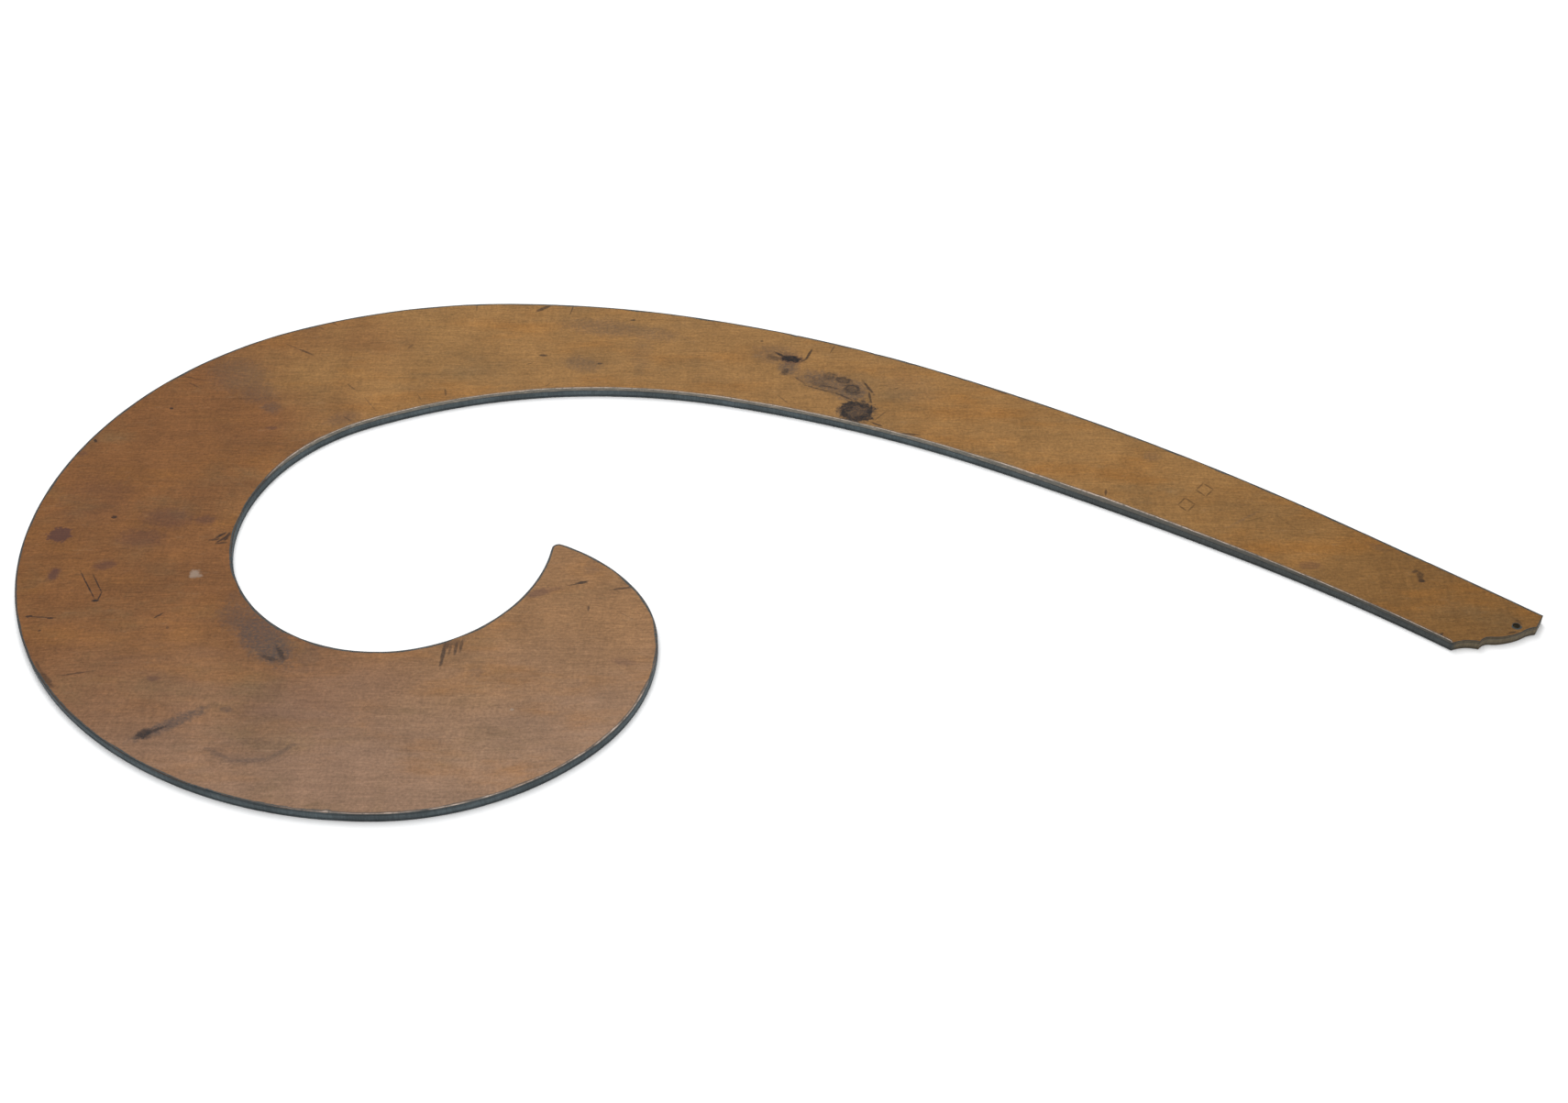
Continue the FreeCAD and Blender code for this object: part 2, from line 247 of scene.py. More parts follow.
def wander(distance, wavelength, seed):
    """Smooth value between about -1 and 1 that wanders along the edge."""
    return noise.noise(Vector((distance / wavelength, seed, 0.0)))


def on_arm_underside(point, inward):
    """1 along the scraped ruling edge of the arm, falling to 0 where it runs into the throat."""
    if (point.x < ARM_START and point.y < SCROLL_TOP) or point.x > MOULDING:
        return 0.0
    return smoothstep(inward.y, 0.35, 0.65)


def edge_wear(loop, index, upper):
    """Width and drop of the worn or scraped strip at one point, and how flat it is."""
    wear = settings("wear")
    point, along = loop.points[index], loop.along[index]
    inward = loop.inward[index].normalized()
    ruff = 1.0 + 0.45 * wander(along, 9 * MM, 3.0) + 0.35 * wander(along, 1.7 * MM, 8.0)
    nick = smoothstep(wander(along, 5 * MM, 21.0 if upper else 33.0), 0.42, 0.62)
    crisp = 0.5 if point.x > MOULDING else 1.0  # the moulded end has hardly been handled
    width = wear.arris_width * (ruff + 1.1 * nick) * (1.0 + 1.6 * bareness(loop, index)) * crisp
    drop = wear.arris_drop * (ruff + 0.9 * nick) * crisp
    scraped = 0.0 if loop.hole else on_arm_underside(point, inward)
    if upper and scraped > 0.0:
        again = math.exp(-(((point.x - TRUED_AGAIN) / TRUED_SPREAD) ** 2))
        taper = 1.0 - 0.35 * smoothstep(point.x, TAPER_START, TAPER_END)
        cut = (wear.bevel_narrow + (wear.bevel_wide - wear.bevel_narrow) * again) * taper
        cut *= 1.0 + 0.16 * wander(along, 14 * MM, 5.0) + 0.10 * wander(along, 2.2 * MM, 6.0)
        depth = wear.bevel_drop * (0.9 + 0.1 * wander(along, 11 * MM, 7.0))
        width += (cut - width) * scraped
        drop += (depth - drop) * scraped
    return max(width, 0.05 * MM), max(drop, 0.05 * MM), 0.85 * scraped


def arris_highlight(loop, index, share):
    """1 on the painted highlight along the top of a strip, laid over bare polished wood: thin on the bevel,
    broad on a worn arris.
    """
    scraped = 0.0 if loop.hole else on_arm_underside(loop.points[index], loop.inward[index].normalized())
    return smoothstep(share, 0.20 + 0.58 * scraped, 0.55 + 0.41 * scraped)


def bareness(loop, index):
    """1 where the edge is scraped or rubbed down to bare wood, which carries the painted highlight; 0 where
    ink has greyed it.
    """
    point, inward = loop.points[index], loop.inward[index].normalized()
    if loop.hole:
        return 0.0
    front = smoothstep(inward.y, 0.45, 0.80) * smoothstep(point.x, HEEL_START, HEEL_END)
    side = smoothstep(point.x, HOOK_START, HOOK_END) * smoothstep(inward.y, 0.0, 0.4)
    rubbed = max(front, side) if point.y < RUBBED_TOP and point.x < 0.0 else 0.0
    return max(rubbed * (0.50 + 0.5 * wander(loop.along[index], 4 * MM, 41.0)),
               on_arm_underside(point, inward), 0.0)


def strip_point(share, width, drop, flat):
    """Inset and fall across a worn strip, from 0 at the cut edge to 1 at the face."""
    quarter = share * math.pi / 2.0
    round_inset, round_fall = width * (1.0 - math.cos(quarter)), drop * (1.0 - math.sin(quarter))
    flat_inset, flat_fall = width * share, drop * (1.0 - share)
    return (round_inset + (flat_inset - round_inset) * flat,
            round_fall + (flat_fall - round_fall) * flat)


# ---- plies ---------------------------------------------------------------------------------

STRIP_SHARES = (0.0, 0.12, 0.3, 0.5, 0.7, 0.88, 1.0)
SHARP_ANGLE = math.radians(40.0)  # mesh edges that turn more than this stay crisp
FACE_SLOT, STRIP_SLOT, CUT_SLOT = 0, 1, 2


class PlyMesh:
    """Grows a ply upwards from its outline, one ring of edge points at a time."""

    def __init__(self, loops):
        self.loops = loops
        self.bm = bmesh.new()
        self.place = self.bm.verts.layers.int.new("place")
        self.bare = self.bm.verts.layers.float.new("bare")
        self.rim = self.bm.verts.layers.float.new("rim")
        self.arris_highlight = self.bm.verts.layers.float.new("arris_highlight")
        self.uv = self.bm.loops.layers.uv.new("edge")
        self.spots = [(loop, index) for loop in loops for index in range(len(loop.points))]
        self.rings = []

    def start(self, inset_and_height, rim=1.0):
        verts = []
        for number, (loop, index) in enumerate(self.spots):
            vert = self.bm.verts.new(self.co(number, inset_and_height))
            vert[self.place] = number
            vert[self.bare] = bareness(loop, index)
            vert[self.rim] = rim
            verts.append(vert)
        edges = []
        first = 0
        for loop in self.loops:
            count = len(loop.points)
            for i in range(count):
                edges.append(self.bm.edges.new((verts[first + i], verts[first + (i + 1) % count])))
            first += count
        self.rings.append(edges)

    def co(self, number, inset_and_height):
        loop, index = self.spots[number]
        inset, height = inset_and_height(loop, index)
        spot = loop.points[index] + loop.inward[index] * inset
        return Vector((spot.x, spot.y, height))

    def grow(self, inset_and_height, slot, smooth=True, rim=1.0, share=0.0):
        out = bmesh.ops.extrude_edge_only(self.bm, edges=self.rings[-1])
        new = out["geom"]
        for vert in (item for item in new if isinstance(item, bmesh.types.BMVert)):
            vert.co = self.co(vert[self.place], inset_and_height)
            vert[self.rim] = rim
            vert[self.arris_highlight] = arris_highlight(*self.spots[vert[self.place]], share)
        for face in (item for item in new if isinstance(item, bmesh.types.BMFace)):
            face.material_index = slot
            face.smooth = smooth
        created = {item for item in new if isinstance(item, bmesh.types.BMVert)}
        self.rings.append([item for item in new if isinstance(item, bmesh.types.BMEdge)
                           and item.verts[0] in created and item.verts[1] in created])

    def close(self, ring, slot):
        out = bmesh.ops.triangle_fill(self.bm, edges=self.rings[ring], use_beauty=True,
                                      use_dissolve=False, normal=(0.0, 0.0, 1.0))
        for face in (item for item in out["geom"] if isinstance(item, bmesh.types.BMFace)):
            face.material_index = slot
            face.smooth = False

    def unwrap(self):
        """Along the edge and up it on the cut edge and the strips, plan position on the faces."""
        for face in self.bm.faces:
            edge_face = face.material_index != FACE_SLOT
            numbers = [loop.vert[self.place] for loop in face.loops]
            along = [self.spots[n][0].along[self.spots[n][1]] for n in numbers]
            wrap = edge_face and max(along) - min(along) > 10 * MM  # the face that closes the loop
            for loop, n, distance in zip(face.loops, numbers, along):
                if wrap and self.spots[n][1] == 0:
                    distance = self.spots[n][0].along[-1]
                co = loop.vert.co
                loop[self.uv].uv = (distance, co.z) if edge_face else (co.x, co.y)

    def finish(self, name, materials, node, slot):
        bmesh.ops.recalc_face_normals(self.bm, faces=self.bm.faces)
        self.unwrap()
        mesh = bpy.data.meshes.new(name)
        self.bm.to_mesh(mesh)
        self.bm.free()
        for material in materials:
            mesh.materials.append(material)
        mesh.set_sharp_from_angle(angle=SHARP_ANGLE)
        piece = bpy.data.objects.new(name, mesh)
        bpy.context.scene.collection.objects.link(piece)
        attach(piece, BODY)
        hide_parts(node)
        return piece


def outline_loops():
    return [smooth_outline(settings("wear").edge_step), hanging_hole()]


def wall(height, seed, shrink=0.0):
    """Ring rule for a cut edge: a little waver, always inside the outline."""
    def rule(loop, index):
        waver = settings("wear").waver * (0.5 + 0.5 * wander(loop.along[index], 6 * MM, seed))
        return (0.0 if loop.hole else waver) + shrink, height
    return rule


def strip(height, side, share, seed):
    """Ring rule for a worn or scraped strip that ends on a face at this height."""
    def rule(loop, index):
        width, drop, flat = edge_wear(loop, index, side > 0)
        inset, fall = strip_point(share, width, drop, flat)
        base, _ = wall(height, seed)(loop, index)
        return base + inset, height - side * fall
    return rule


def darkened_rim(height, side, seed):
    """Ring rule for the inner limit of the darker band along the face's edge, broadest along the far edges.
    """
    def rule(loop, index):
        inset, level = strip(height, side, 1.0, seed)(loop, index)
        broad = 1.0 + 0.8 * wander(loop.along[index], 7 * MM, 51.0)
        outer = smoothstep(loop.inward[index].normalized().y, 0.1, -0.3)
        at_moulding = loop.points[index].x > MOULDING
        broad *= (0.3 if at_moulding else 1.0) * (1.0 - outer) + 1.35 * outer
        return inset + settings("wear").rim_width * broad, level
    return rule


def make_top_ply():
    low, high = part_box(TOP)[0].z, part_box(TOP)[1].z
    ply = PlyMesh(outline_loops())
    ply.start(wall(low, 1.0))
    for share in STRIP_SHARES:
        slot = CUT_SLOT if share == 0.0 else STRIP_SLOT
        ply.grow(strip(high, 1.0, share, 1.0), slot, share=share)
    ply.grow(darkened_rim(high, 1.0, 1.0), FACE_SLOT, smooth=False, rim=0.0)
    ply.close(0, CUT_SLOT)
    ply.close(-1, FACE_SLOT)
    finishes = [face_finish(), strip_finish(), cut_finish("upper_ply_edge", 0.86)]
    return ply.finish("top_face_veneer", finishes, TOP, "pearwood_face")


def make_bottom_ply():
    low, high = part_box(BOTTOM)[0].z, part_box(BOTTOM)[1].z
    ply = PlyMesh(outline_loops())
    ply.start(darkened_rim(low, -1.0, 2.0), rim=0.0)
    ply.grow(strip(low, -1.0, STRIP_SHARES[-1], 2.0), FACE_SLOT, smooth=False)
    for share in reversed(STRIP_SHARES[:-1]):
        ply.grow(strip(low, -1.0, share, 2.0), STRIP_SLOT)
    ply.grow(wall(high, 2.0), CUT_SLOT)
    ply.close(0, FACE_SLOT)
    ply.close(-1, CUT_SLOT)
    finishes = [face_finish(), strip_finish(), cut_finish("lower_ply_edge", 0.82)]
    return ply.finish("bottom_face_veneer", finishes, BOTTOM, "pearwood_face")


def make_core_ply():
    low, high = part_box(CORE)[0].z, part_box(CORE)[1].z
    middle = (low + high) / 2.0
    ply = PlyMesh(outline_loops())
    ply.start(wall(low, 1.5))
    ply.grow(wall(middle, 1.3), CUT_SLOT)
    ply.grow(wall(high, 1.1), CUT_SLOT)
    ply.close(0, CUT_SLOT)
    ply.close(-1, CUT_SLOT)
    finish = cut_finish("core_ply_edge", 1.30)
    return ply.finish("core_veneer", [finish, finish, finish], CORE, "pearwood_core")


def make_glue_film(name, node, seed):
    low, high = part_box(node)[0].z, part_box(node)[1].z
    ply = PlyMesh(outline_loops())
    shrink = 0.02 * MM  # the dried film stands a little back from the wood
    ply.start(wall(low, seed, shrink))
    ply.grow(wall(high, seed, shrink), CUT_SLOT)
    ply.close(0, CUT_SLOT)
    ply.close(-1, CUT_SLOT)
    finish = glue_finish()
    return ply.finish(name, [finish, finish, finish], node, "hide_glue")


# ---- node helpers --------------------------------------------------------------------------


class Nodes:
    """Adds nodes to one tree; an input may be a constant or another node's socket."""

    def __init__(self, tree):
        self.tree = tree

    def add(self, kind, inputs=None, output=0, **settings_):
        node = self.tree.nodes.new(kind)
        for name, value in settings_.items():
            setattr(node, name, value)
        for key, value in (inputs or {}).items():
            if isinstance(value, bpy.types.NodeSocket):
                self.tree.links.new(value, node.inputs[key])
            else:
                node.inputs[key].default_value = value
        return node.outputs[output]

    def math(self, operation, a, b=0.0, clamp=False):
        return self.add("ShaderNodeMath", {0: a, 1: b}, operation=operation, use_clamp=clamp)

    def vector(self, operation, a, b=(0.0, 0.0, 0.0), output=0):
        return self.add("ShaderNodeVectorMath", {0: a, 1: b}, output, operation=operation)

    def stretch(self, source, scale, offset=(0.0, 0.0, 0.0), turn=0.0):
        return self.add("ShaderNodeMapping", {"Vector": source, "Location": offset,
                                              "Rotation": (0.0, 0.0, turn), "Scale": scale})

    def noise(self, source, scale, detail=3.0, roughness=0.55, distortion=0.0):
        return self.add("ShaderNodeTexNoise", {"Vector": source, "Scale": scale, "Detail": detail,
                                               "Roughness": roughness, "Distortion": distortion})

    def ramp(self, value, low, high, out_low=0.0, out_high=1.0, smooth=True):
        kind = "SMOOTHSTEP" if smooth else "LINEAR"
        return self.add("ShaderNodeMapRange", {"Value": value, "From Min": low, "From Max": high,
                                               "To Min": out_low, "To Max": out_high},
                        interpolation_type=kind)

    def mix(self, share, a, b, blend="MIX"):
        node = self.tree.nodes.new("ShaderNodeMix")
        node.data_type = "RGBA"
        node.blend_type = blend
        for socket, value in ((node.inputs[0], share), (node.inputs[6], a), (node.inputs[7], b)):
            if isinstance(value, bpy.types.NodeSocket):
                self.tree.links.new(value, socket)
            elif socket.type == "RGBA":
                socket.default_value = (*value, 1.0)
            else:
                socket.default_value = value
        return node.outputs[2]


def group(name, inputs, outputs, build):
    """A shader node group made once: inputs and outputs are (name, socket kind, default)."""
    if name in bpy.data.node_groups:
        return bpy.data.node_groups[name]
    tree = bpy.data.node_groups.new(name, "ShaderNodeTree")
    for label, kind, default in inputs:
        socket = tree.interface.new_socket(label, in_out="INPUT", socket_type="NodeSocket" + kind)
        socket.default_value = default
    for label, kind in outputs:
        tree.interface.new_socket(label, in_out="OUTPUT", socket_type="NodeSocket" + kind)
    source = tree.nodes.new("NodeGroupInput").outputs
    sink = tree.nodes.new("NodeGroupOutput").inputs
    results = build(Nodes(tree), source)
    for label, socket in results.items():
        tree.links.new(socket, sink[label])
    return tree


def use(nodes, tree, inputs):
    """Outputs of a new group node."""
    node = nodes.tree.nodes.new("ShaderNodeGroup")
    node.node_tree = tree
    for key, value in inputs.items():
        if isinstance(value, bpy.types.NodeSocket):
            nodes.tree.links.new(value, node.inputs[key])
        else:
            node.inputs[key].default_value = value
    return node.outputs


def new_material(name):
    material = bpy.data.materials.new(name)
    material.use_nodes = True
    tree = material.node_tree
    tree.nodes.clear()
    shader = tree.nodes.new("ShaderNodeBsdfPrincipled")
    output = tree.nodes.new("ShaderNodeOutputMaterial")
    tree.links.new(shader.outputs[0], output.inputs[0])
    return material, Nodes(tree), shader


def connect(nodes, shader, **sockets):
    for name, value in sockets.items():
        nodes.tree.links.new(value, shader.inputs[name.replace("_", " ").title()])


# ---- shared effects ------------------------------------------------------------------------


def grain_group():
    """Even pearwood grain along X: streaks, short fibre, dark pores and a cross-grained shimmer."""
    def build(n, given):
        position = given["Position"]
        bend = n.noise(n.stretch(position, (9.0, 14.0, 1.0)), 1.0, 1.0)
        bent = n.add("ShaderNodeCombineXYZ", {"X": 0.0, "Y": n.math("MULTIPLY", bend, 0.012), "Z": 0.0})
        moved = n.vector("ADD", position, bent)
        streaks = n.noise(n.stretch(moved, (38.0, 760.0, 1.0)), 1.0, 4.0, 0.6)
        fibre = n.noise(n.stretch(moved, (330.0, 2300.0, 1.0)), 1.0, 3.0, 0.65)
        cells = n.stretch(moved, (190.0, 1500.0, 1.0))
        pores = n.add("ShaderNodeTexVoronoi", {"Vector": cells, "Scale": 1.0})
        pore_mask = n.ramp(pores, 0.08, 0.30, 1.0, 0.0)
        shimmer = n.noise(n.stretch(position, (850.0, 130.0, 1.0), turn=0.06), 1.0, 3.0, 0.6)
        return {"Streaks": streaks, "Fibre": fibre, "Pores": pore_mask, "Shimmer": shimmer}
    return group("long_grain", [("Position", "Vector", (0.0, 0.0, 0.0))],
                 [("Streaks", "Float"), ("Fibre", "Float"), ("Pores", "Float"), ("Shimmer", "Float")], build)


def spot_group():
    """Mask of one oval mark with a ragged edge, laid at a place and a turn."""
    def build(n, given):
        moved = n.vector("SUBTRACT", given["Position"], given["Centre"])
        back = n.math("MULTIPLY", given["Turn"], -1.0)
        turned = n.add("ShaderNodeVectorRotate", {"Vector": moved, "Angle": back}, rotation_type="Z_AXIS")
        scaled = n.vector("DIVIDE", turned, given["Half Size"])
        radius = n.vector("LENGTH", scaled, output=1)
        ragged = n.math("ADD", radius, given["Ragged"])
        half = n.math("MULTIPLY", given["Softness"], 0.5)
        inside = n.add("ShaderNodeMapRange", {"Value": ragged, "From Min": n.math("ADD", 1.0, half),
                                              "From Max": n.math("SUBTRACT", 1.0, half),
                                              "To Min": 0.0, "To Max": 1.0}, interpolation_type="SMOOTHSTEP")
        middle = n.ramp(ragged, 0.80, 0.45)
        kept = n.math("SUBTRACT", 1.0, n.math("MULTIPLY", middle, given["Hollow"]))
        return {"Mask": n.math("MULTIPLY", n.math("MULTIPLY", inside, kept), given["Strength"])}
    return group("laid_spot", [("Position", "Vector", (0.0, 0.0, 0.0)), ("Centre", "Vector", (0.0, 0.0, 0.0)),
                               ("Half Size", "Vector", (1.0, 1.0, 1.0)), ("Turn", "Float", 0.0),
                               ("Ragged", "Float", 0.0), ("Softness", "Float", 0.5), ("Hollow", "Float", 0.0),
                               ("Strength", "Float", 1.0)],
                 [("Mask", "Float")], build)


# Marks on the working face. Millimetres from the middle: x, y, half length, half width,
# turn in degrees, softness of the rim, strength.
INK_MARKS = [
    # the blot at the arm's ruling edge with its thicker rim, and the lines round the smear above it
    (24.3, 49.3, 4.7, 4.3, 14, 0.7, 0.55), (22.3, 50.6, 2.3, 1.2, 62, 1.0, 0.9),
    (26.2, 51.8, 1.7, 0.9, -34, 1.0, 0.9), (25.6, 46.9, 2.4, 1.2, 16, 1.0, 0.9),
    (22.8, 53.0, 2.8, 0.7, 10, 0.7, 0.95), (20.9, 48.4, 1.0, 2.6, 10, 0.9, 0.95),
    (28.3, 49.6, 0.7, 2.6, -8, 0.7, 0.95), (26.4, 45.9, 2.6, 0.6, 4, 0.7, 0.9),
    (27.9, 60.4, 3.2, 0.4, -64, 0.8, 0.75), (28.4, 55.8, 2.6, 0.35, -84, 0.8, 0.7),
    (14.5, 59.2, 5.2, 0.3, -24, 0.9, 0.55), (20.6, 56.3, 3.4, 0.35, -34, 0.9, 0.65),
    (8.2, 63.6, 2.4, 0.3, -46, 0.9, 0.45), (16.5, 60.6, 2.8, 0.4, -20, 0.9, 0.55),
    (4.0, 67.6, 1.5, 0.9, 60, 0.9, 0.6), (0.6, 74.2, 2.2, 0.9, -30, 1.0, 0.5),
    (5.8, 73.6, 2.8, 1.6, -12, 0.5, 1.0),
    (2.9, 75.3, 2.3, 0.45, -40, 0.6, 0.85), (11.0, 75.6, 2.9, 0.4, 68, 0.6, 0.85),
    (9.6, 73.0, 1.6, 0.4, 40, 0.7, 0.7), (18.0, 78.2, 1.7, 0.25, 68, 0.7, 0.55),
    (31.3, 47.6, 3.4, 0.18, 50, 0.7, 0.45), (39.5, 39.3, 2.4, 0.35, -10, 0.7, 0.7),
    (30.0, 43.6, 1.8, 0.3, -28, 0.7, 0.8), (91.9, 14.5, 1.1, 0.35, 80, 0.7, 0.7),
    (3.6, 54.6, 2.3, 0.2, -52, 0.7, 0.4), (-68.6, 98.0, 2.8, 0.6, 36, 0.6, 0.7),
    (-60.1, 97.2, 2.0, 0.22, 80, 0.6, 0.65), (-88.8, 98.4, 1.6, 0.2, -84, 0.6, 0.4),
    (-67.0, 75.2, 1.3, 0.5, -4, 0.6, 0.75), (-41.4, 92.3, 0.8, 0.4, 10, 0.6, 0.7),
    (-50.0, 71.4, 0.8, 0.4, 0, 0.6, 0.6), (-2.8, 82.0, 0.5, 0.4, 0, 0.6, 0.6),
    (-106.4, 79.5, 1.4, 0.4, 62, 0.7, 0.35), (-93.8, 57.9, 1.5, 0.35, -80, 0.7, 0.55),
    (-115.0, 53.0, 3.2, 0.2, -56, 0.7, 0.35), (-101.0, 55.6, 2.0, 0.2, -62, 0.7, 0.3),
    (-141.2, 79.4, 2.6, 0.2, -32, 0.7, 0.5), (-136.9, 76.8, 3.0, 0.35, -32, 0.7, 0.6),
    (-134.4, 88.6, 1.6, 0.2, -33, 0.7, 0.4), (-130.4, 90.3, 1.4, 0.22, -39, 0.7, 0.45),
    (-120.4, 46.1, 1.6, 0.22, -39, 0.7, 0.45), (-121.2, 60.4, 2.0, 0.25, -46, 0.7, 0.45),
    (-70.8, 71.2, 1.0, 0.22, 29, 0.7, 0.5), (-64.7, 61.4, 1.1, 0.2, 51, 0.7, 0.45),
    (36.4, 59.9, 0.8, 0.25, 21, 0.7, 0.5), (55.4, 64.0, 2.2, 0.22, -29, 0.8, 0.45),
    (18.2, 85.4, 1.5, 0.2, 49, 0.7, 0.4), (-37.2, -33.5, 2.8, 0.2, -35, 0.9, 0.3),
    (-168.0, 64.6, 3.0, 0.3, -20, 0.7, 0.4), (-166.8, 61.3, 2.3, 0.25, -34, 0.7, 0.4),
    (-171.3, 50.8, 0.6, 0.4, -20, 0.5, 0.85), (-189.8, 36.4, 0.9, 0.4, -62, 0.5, 0.85),
    (-177.7, 4.4, 0.75, 0.6, 0, 0.5, 0.85), (-147.6, -3.0, 1.7, 0.4, 42, 0.7, 0.85),
    (-146.8, -4.4, 2.1, 0.35, 46, 0.7, 0.85), (-145.6, -3.4, 1.9, 0.5, 74, 0.8, 0.8),
    (-149.0, -4.6, 1.3, 0.4, 12, 0.8, 0.7), (-147.0, -5.9, 1.6, 0.35, 8, 0.8, 0.7),
    (-179.0, -22.0, 6.2, 0.2, -60, 0.6, 0.85), (-176.4, -21.6, 4.0, 0.18, -61, 0.6, 0.8),
    (-174.8, -26.5, 1.8, 0.2, -98, 0.6, 0.8), (-175.7, -28.0, 1.0, 0.42, 8, 0.6, 0.95),
    (-188.2, -34.1, 3.4, 0.22, -3, 0.6, 0.75),
    (-191.4, -33.8, 0.9, 0.4, 10, 0.5, 0.85), (-185.9, -34.4, 0.8, 0.35, 0, 0.5, 0.85),
    (-187.5, -39.0, 0.5, 0.3, 20, 0.6, 0.6), (-158.0, -33.5, 1.5, 0.28, 42, 0.6, 0.75),
    (-154.8, -37.9, 0.45, 0.4, 0, 0.6, 0.5), (-181.6, -56.2, 3.2, 0.8, -52, 1.0, 0.6),
    (-174.5, -54.2, 4.4, 0.25, 12, 0.7, 0.6), (-184.8, -51.6, 2.0, 0.4, -58, 0.9, 0.45),
    (-124.2, -47.2, 2.6, 0.7, -62, 0.9, 0.65), (-126.6, -49.0, 2.6, 0.6, -20, 0.9, 0.6),
    (-153.2, -74.8, 2.0, 1.5, 25, 0.8, 0.80), (-150.4, -73.4, 2.4, 0.5, 30, 0.9, 0.75),
    (-82.9, -47.4, 4.4, 0.5, 87, 0.8, 0.75), (-80.8, -43.4, 2.6, 1.1, 14, 1.0, 0.5),
    (-81.3, -45.4, 2.2, 0.35, 84, 0.8, 0.55), (-79.9, -45.2, 2.6, 0.45, 88, 0.8, 0.7),
    (-78.6, -44.4, 2.4, 0.4, 88, 0.8, 0.65), (-82.3, -44.6, 1.9, 0.6, 80, 0.9, 0.6),
    (-49.4, -21.2, 1.5, 0.5, 16, 0.6, 0.85),
    (-51.6, -22.0, 1.6, 0.2, 12, 0.6, 0.6), (-39.0, -23.4, 2.6, 0.35, 12, 0.7, 0.6),
    (-36.0, -22.6, 1.5, 0.3, 34, 0.7, 0.55), (-47.0, -30.8, 1.0, 0.3, 88, 0.7, 0.6),
    (171.3, -18.6, 1.9, 0.9, 80, 0.8, 0.55), (171.2, -20.5, 1.0, 0.6, 10, 0.6, 0.8),
    (170.2, -17.0, 0.9, 0.5, 30, 0.7, 0.6), (172.2, -40.4, 0.9, 0.4, 50, 0.7, 0.7),
    (190.4, -39.7, 1.5, 0.35, 18, 0.7, 0.6), (193.0, -35.6, 1.2, 0.5, -55, 0.9, 0.45),
    (-45.4, -85.1, 0.9, 0.35, 38, 0.6, 0.8), (66.5, 58.0, 1.8, 0.4, -32, 0.8, 0.55),
]
RINGS = [
    (24.3, 49.3, 4.9, 4.6, 10, 0.6, 0.95), (20.9, 63.4, 2.2, 1.4, -24, 0.9, 0.85),
    (23.4, 59.4, 2.1, 2.4, 34, 0.9, 0.9), (16.9, 65.6, 1.6, 1.9, -40, 1.0, 0.6),
    (13.6, 62.4, 2.4, 1.6, -30, 1.0, 0.4), (-126.0, -80.6, 11.0, 3.8, 0, 0.6, 0.22),
]
SMUDGES = [
    (24.3, 49.3, 5.1, 4.7, 14, 0.5, 1.0),
    (17.5, 62.2, 10.0, 3.9, -22, 0.9, 0.85), (23.0, 58.8, 5.0, 4.6, -30, 0.8, 0.85),
    (5.0, 69.4, 2.9, 3.2, 0, 1.0, 0.85), (1.5, 75.6, 6.5, 4.0, -10, 1.0, 0.5),
    (73.5, 54.8, 2.4, 1.2, -28, 1.0, 0.5), (-50.0, 88.4, 11.0, 3.6, -9, 1.0, 0.5),
    (-35.0, 85.5, 8.0, 3.0, -12, 1.0, 0.4), (-55.0, 71.0, 5.5, 3.2, -20, 1.0, 0.5),
    (-155.0, 66.0, 8.5, 7.0, -30, 1.0, 0.45), (-148.0, 58.5, 6.5, 4.5, -40, 1.0, 0.45),
    (-142.8, 51.2, 3.0, 2.4, -50, 1.0, 0.6), (-122.0, 46.0, 5.0, 2.5, 20, 1.0, 0.4),
    (-129.6, -41.8, 11.0, 5.0, -50, 0.7, 0.95), (-136.0, -34.5, 7.5, 4.8, -44, 0.9, 0.65),
    (-126.4, -46.4, 4.6, 3.0, -52, 0.8, 1.0),
    (-139.0, -29.0, 4.4, 2.2, -80, 1.0, 0.35), (-147.5, -71.4, 9.5, 1.8, 33, 0.9, 0.9),
    (-134.5, -66.6, 1.4, 0.9, 0, 0.9, 0.6), (-116.8, -48.0, 5.2, 2.6, 85, 1.0, 0.3),
    (-134.0, -81.4, 3.8, 0.7, -28, 1.0, 0.5), (-126.0, -83.4, 4.8, 0.7, 3, 1.0, 0.5),
    (-118.5, -80.6, 3.8, 0.7, 38, 1.0, 0.5), (-47.0, -15.5, 2.6, 2.2, 60, 1.0, 0.3),
    (-74.0, -54.0, 2.2, 1.6, 80, 1.0, 0.35), (106.0, 29.5, 2.4, 1.8, 0, 1.0, 0.35),
    (162.0, -7.5, 2.6, 1.2, -30, 1.0, 0.3), (-38.0, 76.0, 3.0, 8.0, 0, 1.0, 0.22),
    (40.0, 60.0, 9.0, 6.0, -30, 1.0, 0.22), (128.0, 3.6, 5.0, 0.4, 34, 0.9, 0.35),
]
